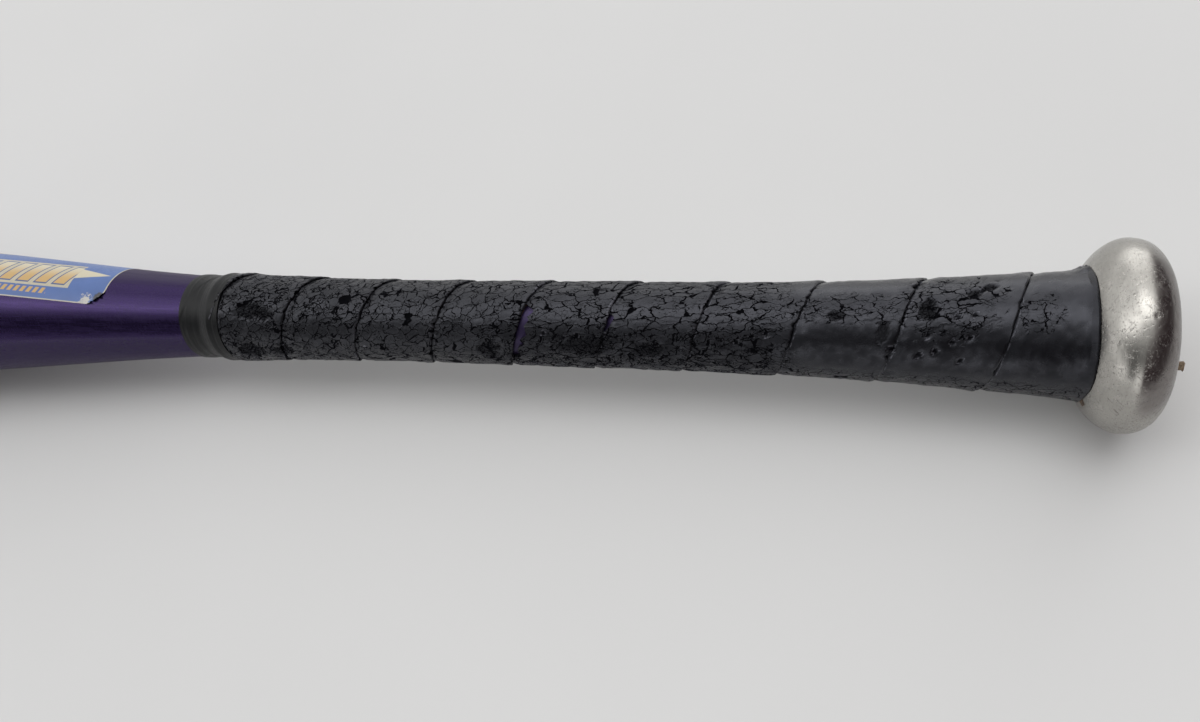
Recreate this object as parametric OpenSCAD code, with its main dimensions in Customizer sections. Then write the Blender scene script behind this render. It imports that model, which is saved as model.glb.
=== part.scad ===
// Aluminium baseball bat: one drawn shell, a welded knob, a wound grip and a plugged barrel end.
// The axis is +X. The origin is the centre of the knob's end face, and the barrel end is at +X.
// Angles round the axis are measured from +Z towards +Y.

/* [Bat] */
// Overall length, from the knob's end face to the end cap
bat_len = 838; // [760:1:900]
// Diameter of the barrel
barrel_d = 66.7; // [60:0.1:80]
// Length of the straight barrel, before it is rolled in at its end
barrel_len = 268; // [180:1:300]
// Diameter of the handle under the grip
handle_d = 22.2; // [20:0.1:26.6]
// Wall of the handle
handle_wall = 2.4; // [1.6:0.1:3.2]
// Wall of the barrel
barrel_wall = 2.2; // [1.8:0.1:3]
// Where the straight handle starts to swell into the taper
handle_end = 201; // [170:1:230]
// Length of the curve from the handle into the taper
handle_blend = 123; // [90:1:150]
// Length of the curve from the taper into the barrel
barrel_blend = 96; // [60:1:120]
// Radius of the barrel's rolled-in end
lip_r = 6; // [4:0.5:9]

/* [Knob] */
// Diameter of the knob
knob_d = 50; // [44:0.5:60]
// Length from the end face to the widest place
knob_end_len = 9; // [7:0.5:11]
// Length from the widest place to the neck
knob_front_len = 9.5; // [7:0.5:11.5]
// Width of the flat ring round the recess in the end face
knob_flat_w = 1.6; // [1:0.1:2.5]
// Chamfer round the mouth of the recess
recess_chamfer = 0.7; // [0.4:0.1:0.9]
// Thickness of the neck round the handle where it leaves the knob
neck_wall = 4; // [2:0.1:6]
// Length of the tapered neck under the grip
neck_len = 84; // [50:1:100]
// Thickness of the neck at its feathered end
neck_edge = 0.15; // [0.1:0.05:0.25]
// Room for the weld round the handle in the end face's recess
weld_room = 1.6; // [1:0.1:2.5]
// Depth of the recess in the end face
recess_depth = 6; // [5:0.5:8]
// How far the handle stands up in the recess, for its weld
weld_stand = 2; // [1:0.5:3]
// Thickness of the plug's head
plug_head = 3.4; // [2:0.1:3.8]
// Length of the plug's stem in the handle
plug_stem = 12; // [6:1:30]
// How far the torn sliver stands out of the plug
sliver_stand = 2.6; // [1:0.1:4]
// Length of the foam rod in the handle
damper_len = 110; // [50:5:140]

/* [Grip] */
// Width of the grip strip
strip_w = 30; // [28:0.5:34]
// Lead of the winding, from turn to turn
strip_pitch = 26.44; // [24:0.01:28]
// Thickness of the strip
strip_t = 1.6; // [1:0.1:2.4]
// Thickness of the strip's skived edges
strip_edge = 0.65; // [0.4:0.05:0.9]
// Thickness of the strip's end where the finishing tape holds it down
strip_tail = 0.9; // [0.6:0.1:1.4]
// Where the wound strip shows last, on the barrel side
grip_end = 272.3; // [240:0.1:300]
// Length of strip under the finishing tape
strip_tuck = 3.6; // [2:0.1:6]
// Thickness of the adhesive tape under the strip
adhesive_t = 0.15; // [0.1:0.05:0.3]
// Length of the finishing tape
collar_len = 15.2; // [10:0.1:30]
// Thickness of the finishing tape
collar_t = 0.4; // [0.2:0.05:0.8]

/* [Label] */
// Where the label starts on the taper
label_start = 317.5; // [305:0.5:340]
// Length of the label along the taper
label_len = 132; // [60:1:150]
// Angle of the label's lower edge
label_edge_angle = 15; // [0:1:40]
// Angle that the label covers
label_wrap = 148; // [60:1:200]
// Thickness of the label
label_t = 0.12; // [0.08:0.01:0.3]
// Length of the torn corner
label_tear = 5.5; // [2:0.5:12]

/* [End cap] */
// How far the cap's flange laps over the rolled end
cap_lap = 1.7; // [1:0.1:4]
// Diameter of the cap's flat face
cap_face_d = 40; // [30:1:48]
// Thickness of the flange in front of the rolled end
cap_flange = 4; // [3:0.1:6]
// Length of the cap's skirt in the barrel
cap_skirt = 16; // [10:1:30]
// Wall of the skirt
cap_wall = 4; // [2.5:0.5:5]
// Thickness of the sealant round the skirt
sealant_t = 0.5; // [0.3:0.1:1]
// Thickness of the foam disc behind the cap
foam_t = 14; // [6:1:40]

/* [Fits] */
// Clearance of a piece laid on another
film_gap = 0.02; // [0.01:0.01:0.05]
// Clearance of a pushed-in piece, on the radius
plug_gap = 0.05; // [0.02:0.01:0.1]
// Clearance of the faceted strip over the round tape, on the radius
strip_gap = 0.1; // [0.08:0.01:0.2]

/* [Hidden] */
$fn = 96;
curve_steps = 16;
turn_steps = 36;

handle_r = handle_d / 2;
barrel_r = barrel_d / 2;
knob_r = knob_d / 2;
knob_len = knob_end_len + knob_front_len;
neck_r = handle_r + neck_wall;
recess_r = handle_r + weld_room;
neck_end = knob_len + neck_len;
tube_start = recess_depth - weld_stand;
bore_r = handle_r - handle_wall;

// The shell, from the knob to the rolled end
barrel_end = bat_len - cap_flange;
roll_start = barrel_end - lip_r;
barrel_start = roll_start - barrel_len;
barrel_bore_r = barrel_r - barrel_wall;
lip_hole_r = barrel_r - lip_r;
taper_start = handle_end + handle_blend;
taper_end = barrel_start - barrel_blend;
// A curve turns from level to the taper's slope, and half of its length counts as taper
taper_slope = (barrel_r - handle_r) / (taper_end - taper_start + (handle_blend + barrel_blend) / 2);
wall_slope = (barrel_wall - handle_wall) / (barrel_start - handle_end);

function shell_r(x) =
    x < handle_end ? handle_r
    : x < taper_start ? handle_r + taper_slope * pow(x - handle_end, 2) / (2 * handle_blend)
    : x < taper_end ? handle_r + taper_slope * (x - handle_end - handle_blend / 2)
    : x < barrel_start ? barrel_r - taper_slope * pow(barrel_start - x, 2) / (2 * barrel_blend)
    : barrel_r;

function shell_wall(x) = handle_wall + wall_slope * (min(max(x, handle_end), barrel_start) - handle_end);

// Stations along the shell, close together only where it curves
function stations(from, to, steps) = [for (i = [0 : steps]) from + (to - from) * i / steps];
// A stretch of a list of stations, with its own two ends
function stretch(list, from, to) = concat([from], [for (x = list) if (x > from + 1 && x < to - 1) x], [to]);
shell_stations = concat(
    [tube_start],
    stations(handle_end, taper_start, curve_steps),
    stations(taper_end, barrel_start, curve_steps)
);

// The neck swells towards the knob, and its thin end lies on the handle
neck_power = 1.8;
function neck_at(x) =
    let (u = min(max((x - knob_len) / neck_len, 0), 1))
    handle_r + neck_edge + (neck_r - handle_r - neck_edge) * pow(1 - u, neck_power);

// What the grip is wound on: the neck, then the bare handle and the taper
ramp_len = 14;
function core_r(x) =
    x <= neck_end ? neck_at(x)
    : x < neck_end + ramp_len ? handle_r + neck_edge * (neck_end + ramp_len - x) / ramp_len
    : shell_r(x);
core_stations = concat(
    stations(knob_len, neck_end, curve_steps),
    [neck_end + ramp_len],
    stations(handle_end, taper_start, curve_steps)
);

// Turns a profile of [x, radius] points about the bat's axis
module turned(profile) {
    rotate([0, 90, 0])
        rotate_extrude()
            polygon([for (p = profile) [p[1], p[0]]]);
}

// A layer that lies on the core, from one station to another
module sleeve(from, to, lift, thickness) {
    run = stretch(core_stations, from, to);
    turned(concat(
        [for (x = run) [x, core_r(x) + lift]],
        [for (i = [len(run) - 1 : -1 : 0]) [run[i], core_r(run[i]) + lift + thickness]]
    ));
}

// A quarter of a superellipse, from angle 0 on the radius to 90 on the axis
function round_quarter(mid_x, dx, in_r, dr, power, steps) = [
    for (i = [0 : steps])
        let (a = 90 * i / steps)
        [mid_x + dx * pow(sin(a), 2 / power), in_r + dr * pow(cos(a), 2 / power)]
];

function reversed(list) = [for (i = [len(list) - 1 : -1 : 0]) list[i]];

// One drawn tube: handle, taper and barrel, with its far end rolled in to hold the cap
module bat_tube() {
    roll = [for (a = [0 : 10 : 90]) [roll_start + lip_r * sin(a), lip_hole_r + lip_r * cos(a)]];
    inner_roll_r = lip_r - barrel_wall;
    inner_roll = [
        for (a = [90 : -10 : 0])
            [roll_start + inner_roll_r * sin(a), lip_hole_r + inner_roll_r * cos(a)]
    ];
    color([0.25, 0.17, 0.42])
        turned(concat(
            [for (x = shell_stations) [x, shell_r(x)]],
            roll,
            inner_roll,
            [for (x = reversed(shell_stations)) [x, shell_r(x) - shell_wall(x)]]
        ));
}

// Doughnut knob with a tapered neck, bored for the handle and recessed for the weld and the plug
module knob() {
    end_power = 2.25;
    front_power = 1.64;
    flat_r = recess_r + knob_flat_w;
    end_round = reversed(round_quarter(knob_end_len, -knob_end_len, flat_r, knob_r - flat_r, end_power, 14));
    front_round = round_quarter(knob_end_len, knob_front_len, neck_r, knob_r - neck_r, front_power, 14);
    neck_run = [for (x = stations(knob_len, neck_end, curve_steps)) [x, neck_at(x)]];
    color([0.66, 0.65, 0.64])
        turned(concat(
            [[recess_chamfer, recess_r], [0, recess_r + recess_chamfer]],
            end_round,
            [for (i = [1 : len(front_round) - 1]) front_round[i]],
            [for (i = [1 : len(neck_run) - 1]) neck_run[i]],
            [
                [neck_end, handle_r + film_gap],
                [recess_depth, handle_r + film_gap],
                [recess_depth, recess_r]
            ]
        ));
}

// Fillet of weld between the handle's end and the recess floor
module knob_weld() {
    bead = weld_stand - 0.4;
    inner_r = handle_r + film_gap;
    floor_x = recess_depth - film_gap;
    color([0.5, 0.49, 0.48])
        turned([
            [floor_x, inner_r],
            [floor_x - bead, inner_r],
            [floor_x - bead * 0.45, inner_r + bead * 0.35],
            [floor_x, min(inner_r + bead * 0.9, recess_r - film_gap)]
        ]);
}

// Cork plug: a head in the recess, a stem in the handle, and a torn sliver standing out of its edge
module knob_plug() {
    head_r = recess_r - plug_gap;
    stem_r = bore_r - plug_gap;
    stem_end = tube_start + plug_stem;
    sliver_angle = 63;
    sliver_w = 2.2;
    color([0.6, 0.44, 0.27]) {
        turned([[0, 0], [0, head_r], [plug_head, head_r], [plug_head, stem_r], [stem_end, stem_r], [stem_end, 0]]);
        // The sliver's root is in the head's side, and it comes out past the recess's chamfer
        rotate([90 - sliver_angle, 0, 0])
            translate([0, head_r, -sliver_w / 2])
                linear_extrude(sliver_w)
                    polygon([
                        [recess_chamfer, -0.6],
                        [recess_chamfer * 0.7, 0.05],
                        [0, recess_chamfer * 0.7],
                        [-sliver_stand * 0.4, 1.2],
                        [-sliver_stand, 2.8],
                        [-sliver_stand * 0.85, 1.3],
                        [-sliver_stand * 0.3, 0.3],
                        [0, 0.06],
                        [0.2, 0.02],
                        [0.2, -0.6]
                    ]);
    }
}

// Foam rod that fills the hollow handle behind the plug
module handle_damper() {
    start = tube_start + plug_stem + 1;
    rod_r = bore_r - plug_gap;
    color([0.28, 0.28, 0.3])
        turned([[start, 0], [start, rod_r], [start + damper_len, rod_r], [start + damper_len, 0]]);
}

// Double-sided tape wound on the handle under the strip
module grip_tape() {
    color([0.62, 0.36, 0.12])
        sleeve(knob_len + 0.6, grip_end + strip_tuck, film_gap, adhesive_t);
}

// Cross-section of the wound strip: [distance from its knob-side edge, height over the tape].
// The knob-side edge laps over the turn before it.
strip_lap = strip_w - strip_pitch;
lap_clear = 0.1;
shoulder = strip_t * 0.7;
strip_section = [
    [0, shoulder + lap_clear],
    [strip_lap, strip_edge + lap_clear],
    [strip_lap + 2.6, 0],
    [strip_w, 0],
    [strip_w, strip_edge],
    [strip_pitch, shoulder],
    [strip_pitch - 3, strip_t],
    [strip_lap + 3, strip_t + 0.1],
    [0, shoulder + lap_clear + strip_edge]
];
strip_points = len(strip_section);
// Angle and place of the first turn's edge
strip_edge_at = 8.1;
first_ring = -floor(turn_steps * (strip_w + strip_edge_at - knob_len + 14) / strip_pitch);
last_ring = ceil(turn_steps * (grip_end + strip_tuck - strip_edge_at + 2) / strip_pitch);

function strip_point(ring, p) =
    let (angle = ring * 360 / turn_steps)
    let (x = strip_edge_at + strip_pitch * ring / turn_steps + p[0])
    let (r = core_r(min(max(x, knob_len), grip_end + 20)) + film_gap + adhesive_t + strip_gap + p[1])
    [x, r * sin(angle), r * cos(angle)];

module wound_band() {
    rings = last_ring - first_ring;
    points = [for (i = [0 : rings], p = strip_section) strip_point(first_ring + i, p)];
    sides = [
        for (i = [0 : rings - 1], j = [0 : strip_points - 1])
            let (k = (j + 1) % strip_points)
            [i * strip_points + j, i * strip_points + k, (i + 1) * strip_points + k, (i + 1) * strip_points + j]
    ];
    first_cap = [for (j = [strip_points - 1 : -1 : 0]) j];
    last_cap = [for (j = [0 : strip_points - 1]) rings * strip_points + j];
    polyhedron(points, concat(sides, [first_cap, last_cap]), convexity = 20);
}

// One long strip of synthetic leather in overlapping turns, trimmed square at both ends
// and pressed flat where the finishing tape holds it down
module grip_strip() {
    start = knob_len + 0.1;
    tuck_end = grip_end + strip_tuck;
    lift = film_gap + adhesive_t + strip_gap + strip_tail;
    color([0.13, 0.13, 0.14])
        intersection() {
            wound_band();
            turned([
                [start, handle_r],
                [start, knob_r + 5],
                [grip_end, knob_r + 5],
                [grip_end, core_r(grip_end) + lift],
                [tuck_end, core_r(tuck_end) + lift],
                [tuck_end, handle_r]
            ]);
        }
}

// Vinyl tape over the pressed end of the strip, going down onto the taper
module finishing_tape() {
    start = grip_end + 0.1;
    tuck_end = grip_end + strip_tuck + 0.2;
    end = grip_end + collar_len;
    over = film_gap + adhesive_t + strip_gap + strip_tail + 0.1;
    on_shell = film_gap;
    color([0.16, 0.165, 0.175])
        turned([
            [start, core_r(start) + over],
            [tuck_end, core_r(tuck_end) + over],
            [tuck_end, core_r(tuck_end) + on_shell],
            [end, shell_r(end) + on_shell],
            [end, shell_r(end) + on_shell + collar_t * 0.8],
            [end - 1, shell_r(end - 1) + on_shell + collar_t],
            [tuck_end + 4, shell_r(tuck_end + 4) + on_shell + collar_t],
            [tuck_end + 0.6, core_r(tuck_end) + over + collar_t],
            [start, core_r(start) + over + collar_t * 0.9]
        ]);
}

// Printed label bent round the taper, with a torn corner
module taper_decal() {
    run = stretch(shell_stations, label_start, label_start + label_len);
    tear_r = shell_r(label_start);
    color([0.25, 0.42, 0.74])
        difference() {
            rotate([0, 90, 0])
                rotate([0, 0, 180 - label_edge_angle])
                    rotate_extrude(angle = label_wrap)
                        polygon(concat(
                            [for (x = run) [shell_r(x) + film_gap, x]],
                            [for (x = reversed(run)) [shell_r(x) + film_gap + label_t, x]]
                        ));
            rotate([-label_edge_angle, 0, 0])
                translate([label_start, 0, tear_r])
                    rotate([0, 0, 45])
                        cube([label_tear, label_tear * 2, 6], center = true);
        }
}

// Moulded cap: a skirt in the barrel, a waist in the rolled end and a domed flange outside
module end_cap() {
    skirt_r = barrel_bore_r - sealant_t - plug_gap;
    skirt_end = roll_start - 1;
    skirt_start = skirt_end - cap_skirt;
    waist_r = lip_hole_r - plug_gap;
    inside_x = barrel_end - barrel_wall - 0.2;
    flange_r = lip_hole_r + cap_lap;
    face_r = cap_face_d / 2;
    dome_drop = cap_flange * 0.6;
    groove_r = face_r * 0.7;
    color([0.1, 0.1, 0.11])
        turned(concat(
            [
                [bat_len, 0],
                [bat_len, groove_r - 1],
                [bat_len - 0.8, groove_r - 0.6],
                [bat_len - 0.8, groove_r + 0.6],
                [bat_len, groove_r + 1],
                [bat_len, face_r]
            ],
            [
                for (a = [15 : 15 : 90])
                    [bat_len - dome_drop * (1 - cos(a)), face_r + (flange_r - face_r) * sin(a)]
            ],
            [
                [barrel_end + 0.1, flange_r],
                [barrel_end + 0.1, waist_r],
                [inside_x, waist_r],
                [skirt_end, skirt_r],
                [skirt_start, skirt_r],
                [skirt_start, skirt_r - cap_wall],
                [skirt_end - 2, skirt_r - cap_wall],
                [inside_x - 2, skirt_r - cap_wall - 4],
                [inside_x - 2, 0]
            ]
        ));
}

// Ring of sealant between the skirt and the barrel
module cap_sealant() {
    skirt_end = roll_start - 1;
    outer_r = barrel_bore_r - film_gap;
    inner_r = barrel_bore_r - sealant_t;
    from = skirt_end - cap_skirt + 2;
    to = skirt_end - 1;
    color([0.75, 0.74, 0.68])
        turned([[from, inner_r], [from, outer_r], [to, outer_r], [to, inner_r]]);
}

// Foam disc that fills the hollow of the cap
module cap_foam() {
    disc_r = barrel_bore_r - sealant_t - plug_gap - cap_wall - plug_gap;
    end = roll_start - 3.2;
    color([0.82, 0.8, 0.72])
        turned([[end - foam_t, 0], [end - foam_t, disc_r], [end, disc_r], [end, 0]]);
}

bat_tube();
knob();
knob_weld();
knob_plug();
handle_damper();
grip_tape();
grip_strip();
finishing_tape();
taper_decal();
end_cap();
cap_sealant();
cap_foam();
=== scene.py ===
import math

import bmesh
import bpy
import numpy as np
from mathutils import Matrix, Vector, noise


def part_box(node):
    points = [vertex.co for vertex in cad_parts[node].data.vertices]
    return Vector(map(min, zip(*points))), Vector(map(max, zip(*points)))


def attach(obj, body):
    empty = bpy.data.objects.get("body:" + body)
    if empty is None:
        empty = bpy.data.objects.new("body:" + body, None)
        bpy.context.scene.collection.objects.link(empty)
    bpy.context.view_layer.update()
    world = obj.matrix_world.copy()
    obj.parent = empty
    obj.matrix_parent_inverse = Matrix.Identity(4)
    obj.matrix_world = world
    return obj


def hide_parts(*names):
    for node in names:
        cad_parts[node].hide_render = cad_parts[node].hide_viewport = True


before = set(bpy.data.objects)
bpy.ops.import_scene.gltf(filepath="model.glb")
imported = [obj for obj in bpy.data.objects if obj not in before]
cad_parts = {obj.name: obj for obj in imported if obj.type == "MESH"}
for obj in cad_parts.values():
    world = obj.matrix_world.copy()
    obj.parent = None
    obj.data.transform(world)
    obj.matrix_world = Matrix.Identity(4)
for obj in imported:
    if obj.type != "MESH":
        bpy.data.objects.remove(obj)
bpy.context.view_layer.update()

bl_info = {
    "name": "Aluminium Baseball Bat",
    "version": (1, 0, 0),
    "blender": (4, 5, 0),
    "location": "View3D > Sidebar > Bat",
    "description": "Builds a worn aluminium baseball bat round its packed frame",
    "category": "Add Mesh",
}

# The bat lies along +X with the knob's end face at x = 0. Angles round it run from +Z towards +Y.
# Lengths in the helpers are in millimetres, and meshes are in metres.
MM = 0.001
BODY = "root"


# ---------------------------------------------------------------- measures taken from the frame

def outer_profile(node):
    """x and outer radius of each ring on the outside of a turned node, in millimetres."""
    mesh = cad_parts[node].data
    co = np.zeros(len(mesh.vertices) * 3)
    normal = np.zeros(len(mesh.vertices) * 3)
    mesh.vertices.foreach_get("co", co)
    mesh.vertices.foreach_get("normal", normal)
    co = co.reshape(-1, 3) / MM
    normal = normal.reshape(-1, 3)
    x, r = np.round(co[:, 0], 3), np.hypot(co[:, 1], co[:, 2])
    outward = (co[:, 1] * normal[:, 1] + co[:, 2] * normal[:, 2]) / r > 0.3
    xs = np.unique(x[outward])
    return xs, np.array([r[outward & (x == v)].max() for v in xs])


def smooth_curve(xs, rs):
    """A curve through the stations without overshoot, as a function of x."""
    step = np.diff(xs)
    secant = np.diff(rs) / step
    slope = np.zeros(len(xs))
    slope[0], slope[-1] = secant[0], secant[-1]
    both = secant[:-1] * secant[1:] > 0
    total = secant[:-1] + secant[1:]
    mean = 2 * secant[:-1] * secant[1:] / np.where(both, total, 1)
    slope[1:-1] = np.where(both, mean, 0)

    def radius(x):
        x = np.clip(np.asarray(x, float), xs[0], xs[-1])
        i = np.clip(np.searchsorted(xs, x, side="right") - 1, 0, len(xs) - 2)
        t = (x - xs[i]) / step[i]
        rise = (3 - 2 * t) * t * t
        bend_in = t * (1 - t) ** 2
        bend_out = t * t * (t - 1)
        return rs[i] + (rs[i + 1] - rs[i]) * rise + step[i] * (slope[i] * bend_in + slope[i + 1] * bend_out)

    return radius


def span(node):
    """Lowest and highest x of a node, in millimetres."""
    low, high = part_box(node)
    return low.x / MM, high.x / MM


all_xs, all_rs = outer_profile("bat_tube")
BARREL_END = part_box("bat_tube")[1].x / MM
BARREL_R = all_rs.max()
ROLL_START = all_xs[np.isclose(all_rs, BARREL_R, atol=1e-3)].max()
ROLL_R = BARREL_END - ROLL_START
KNOB_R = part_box("knob")[1].z / MM
shell_radius = smooth_curve(all_xs[all_xs <= ROLL_START], all_rs[all_xs <= ROLL_START])
knob_xs, knob_rs = outer_profile("knob")
knob_radius = smooth_curve(knob_xs, knob_rs)
tape_xs, tape_rs = outer_profile("grip_tape")
core_radius = smooth_curve(tape_xs, tape_rs)


# ---------------------------------------------------------------- settings

def colour(name, default, description):
    return bpy.props.FloatVectorProperty(
        name=name, description=description, default=default, subtype="COLOR", size=3, min=0, max=1
    )


def length(name, default, description):
    return bpy.props.FloatProperty(
        name=name, description=description, default=default * MM, unit="LENGTH", min=0, precision=5
    )


class BatShellSettings(bpy.types.PropertyGroup):
    paint: colour("Paint", (0.028, 0.017, 0.062), "Metallic purple of the shell")
    haze: colour("Haze", (0.036, 0.031, 0.052), "Colour of the fine scratches in the lacquer")
    wall: length("Wall", 2.2, "Wall of the shell")
    metal: colour("Bare metal", (0.44, 0.425, 0.395), "Bare aluminium of the knob")


class BatGripSettings(bpy.types.PropertyGroup):
    leather: colour("Leather", (0.0032, 0.0032, 0.0041), "Synthetic leather between the cracks")
    flake: colour("Flaked skin", (0.030, 0.030, 0.035), "Dry skin that has lifted")
    crack: colour("Cracks", (0.0045, 0.0045, 0.006), "Bottom of the cracks")
    adhesive: colour("Adhesive tape", (0.24, 0.12, 0.04), "Amber tape under the strip")
    vinyl: colour("Finishing tape", (0.0062, 0.0066, 0.0072), "Vinyl tape at the end of the grip")
    pitch: length("Pitch", 26.44, "Lead of the winding from turn to turn")
    width: length("Strip width", 30.0, "Width of the strip")
    thickness: length("Strip thickness", 1.6, "Thickness of the strip")
    edge: length("Edge thickness", 0.65, "Thickness of the strip's skived edges")
    first_edge: length("First edge", 8.1, "Where the strip's edge would cross the top line on its first turn")


class BatLabelSettings(bpy.types.PropertyGroup):
    ground: colour("Ground", (0.044, 0.098, 0.275), "Blue ground of the label")
    gold: colour("Gold", (0.52, 0.33, 0.11), "Slanted bars")
    cream: colour("Cream", (0.55, 0.50, 0.36), "Rays, border and scuffed paper")
    thickness: length("Thickness", 0.12, "Thickness of the film")


class BatEndSettings(bpy.types.PropertyGroup):
    cork: colour("Cork", (0.62, 0.47, 0.33), "Plug in the knob")
    rubber: colour("Rubber", (0.018, 0.018, 0.020), "Moulded end cap")


class BatStageSettings(bpy.types.PropertyGroup):
    floor: colour("Floor", (0.66, 0.66, 0.655), "Pale floor")
    lens: bpy.props.FloatProperty(
        name="Lens", description="Focal length", default=27.0, min=10, unit="CAMERA"
    )


# ---------------------------------------------------------------- mesh helpers

def turned(points, steps, closed=True):
    """A bmesh of a profile of (x, radius) points spun about the bat's axis."""
    bm = bmesh.new()
    ring = [bm.verts.new((x * MM, 0, r * MM)) for x, r in points]
    pairs = list(zip(ring, ring[1:]))
    if closed:
        pairs.append((ring[-1], ring[0]))
    edges = [bm.edges.new(pair) for pair in pairs]
    bmesh.ops.spin(
        bm, geom=ring + edges, cent=(0, 0, 0), axis=(1, 0, 0), dvec=(0, 0, 0),
        angle=2 * math.pi, steps=steps, use_merge=True, use_duplicate=False,
    )
    bmesh.ops.remove_doubles(bm, verts=bm.verts, dist=1e-7)
    bmesh.ops.recalc_face_normals(bm, faces=bm.faces)
    return bm


def arc(centre, radius, start, end, steps):
    """Points of an arc in the (x, radius) plane, with angles in degrees from the radial direction."""
    angles = np.radians(np.linspace(start, end, steps + 1))
    return [(centre[0] + radius * math.sin(a), centre[1] + radius * math.cos(a)) for a in angles]


def round_quarter(mid_x, dx, in_r, dr, power, steps):
    """A quarter of a superellipse, from the radius to the axis direction."""
    angles = np.radians(np.linspace(0, 90, steps + 1))
    return [
        (mid_x + dx * math.sin(a) ** (2 / power), in_r + dr * max(math.cos(a), 0) ** (2 / power))
        for a in angles
    ]


def write_points(mesh, points):
    mesh.vertices.foreach_set("co", (points * MM).ravel())
    mesh.update()


def from_polar(x, angle, radius):
    a = np.radians(angle)
    return np.stack([x, radius * np.sin(a), radius * np.cos(a)], 1)


def noise_at(points, scale, seed):
    """Smooth noise from about -1 to 1 at each point, with features of 1 / scale millimetres."""
    shift = Vector((seed * 17.3, seed * 5.1, seed * 9.7))
    return np.array([noise.noise(Vector(p) * scale + shift) for p in points])


def smoothstep(low, high, value):
    t = np.clip((value - low) / (high - low), 0, 1)
    return t * t * (3 - 2 * t)


def set_attribute(mesh, name, values):
    if values.ndim == 2:
        layer = mesh.attributes.new(name, "FLOAT_VECTOR", "POINT")
        layer.data.foreach_set("vector", values.astype(np.float32).ravel())
    else:
        layer = mesh.attributes.new(name, "FLOAT", "POINT")
        layer.data.foreach_set("value", values.astype(np.float32))


def to_piece(name, bm, material, nodes, sharp=35):
    """Links the bmesh as a piece that stands for CAD nodes and takes a finish."""
    mesh = bpy.data.meshes.new(name)
    bm.to_mesh(mesh)
    bm.free()
    piece = bpy.data.objects.new(name, mesh)
    bpy.context.scene.collection.objects.link(piece)
    mesh.materials.append(material)
    mesh.polygons.foreach_set("use_smooth", [True] * len(mesh.polygons))
    mesh.set_sharp_from_angle(angle=math.radians(sharp))
    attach(piece, BODY)
    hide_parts(*nodes)
    return piece


# ---------------------------------------------------------------- node helpers

def shade(value, factor):
    """The colour made darker or paler by a factor."""
    return tuple(c * factor for c in value)


class Nodes:
    """Short calls for the maths and textures of a node tree, for materials and geometry alike."""

    def __init__(self, tree):
        self.tree = tree

    def feed(self, socket, value):
        """Links or sets a socket. A colour with no alpha gets a full one."""
        if isinstance(value, bpy.types.NodeSocket):
            self.tree.links.new(value, socket)
        elif socket.type == "RGBA":
            socket.default_value = (*value[:3], 1.0)
        else:
            socket.default_value = value

    def put(self, kind, inputs=(), **settings):
        node = self.tree.nodes.new(kind)
        for key, value in settings.items():
            setattr(node, key, value)
        for key, value in dict(inputs).items():
            self.feed(node.inputs[key], value)
        return node

    def math(self, operation, a, b=0.0, clamp=False):
        return self.put("ShaderNodeMath", {0: a, 1: b}, operation=operation, use_clamp=clamp).outputs[0]

    def chain(self, operation, values, clamp=False):
        result = values[0]
        for value in values[1:]:
            result = self.math(operation, result, value, clamp)
        return result

    def times(self, *values, clamp=False):
        return self.chain("MULTIPLY", values, clamp)

    def plus(self, *values, clamp=False):
        return self.chain("ADD", values, clamp)

    def largest(self, *values):
        return self.chain("MAXIMUM", values)

    def minus(self, a, b):
        return self.math("SUBTRACT", a, b)

    def flip(self, value, clamp=False):
        """One minus the value."""
        return self.math("SUBTRACT", 1.0, value, clamp)

    def vector(self, operation, a, b):
        return self.put("ShaderNodeVectorMath", {0: a, 1: b}, operation=operation).outputs[0]

    def scaled(self, vector, size):
        return self.vector("MULTIPLY", vector, size)

    def rotated(self, vector, turn):
        return self.put("ShaderNodeMapping", {"Vector": vector, "Rotation": turn}).outputs[0]

    def distance(self, vector, point):
        return self.put("ShaderNodeVectorMath", {0: vector, 1: point}, operation="DISTANCE").outputs["Value"]

    def axes(self, vector):
        return self.put("ShaderNodeSeparateXYZ", {0: vector}).outputs

    def around(self, axes):
        """Angle round the bat in degrees, from +Z towards +Y."""
        return self.times(self.math("ARCTAN2", axes[1], axes[2]), 180 / math.pi)

    def ramp(self, value, low, high, to_low=0.0, to_high=1.0):
        inputs = {"Value": value, "From Min": low, "From Max": high, "To Min": to_low, "To Max": to_high}
        return self.put("ShaderNodeMapRange", inputs, interpolation_type="SMOOTHSTEP").outputs[0]

    def noise(self, vector, scale, detail=3.0, roughness=0.55):
        inputs = {"Vector": vector, "Scale": scale, "Detail": detail, "Roughness": roughness}
        return self.put("ShaderNodeTexNoise", inputs).outputs[0]

    def warp(self, vector, scale, detail):
        """Noise with a separate value for each axis."""
        inputs = {"Vector": vector, "Scale": scale, "Detail": detail}
        return self.put("ShaderNodeTexNoise", inputs).outputs["Color"]

    def voronoi(self, vector, scale, feature="F1", output="Distance"):
        inputs = {"Vector": vector, "Scale": scale}
        return self.put("ShaderNodeTexVoronoi", inputs, feature=feature).outputs[output]

    def mix(self, factor, a, b):
        return self.put("ShaderNodeMix", {0: factor, 6: a, 7: b}, data_type="RGBA").outputs[2]


def new_material(name):
    """A material with its helper, its Principled shader and its Object coordinates in millimetres."""
    material = bpy.data.materials.new(name)
    material.use_nodes = True
    tree = material.node_tree
    n = Nodes(tree)
    place = n.put("ShaderNodeTexCoord").outputs["Object"]
    return material, n, tree.nodes["Principled BSDF"], n.scaled(place, (1000.0, 1000.0, 1000.0))


def attribute(n, name, output="Fac"):
    return n.put("ShaderNodeAttribute", attribute_name=name).outputs[output]


def connect(n, shader, **sockets):
    for key, value in sockets.items():
        n.feed(shader.inputs[key.replace("_", " ")], value)


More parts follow.
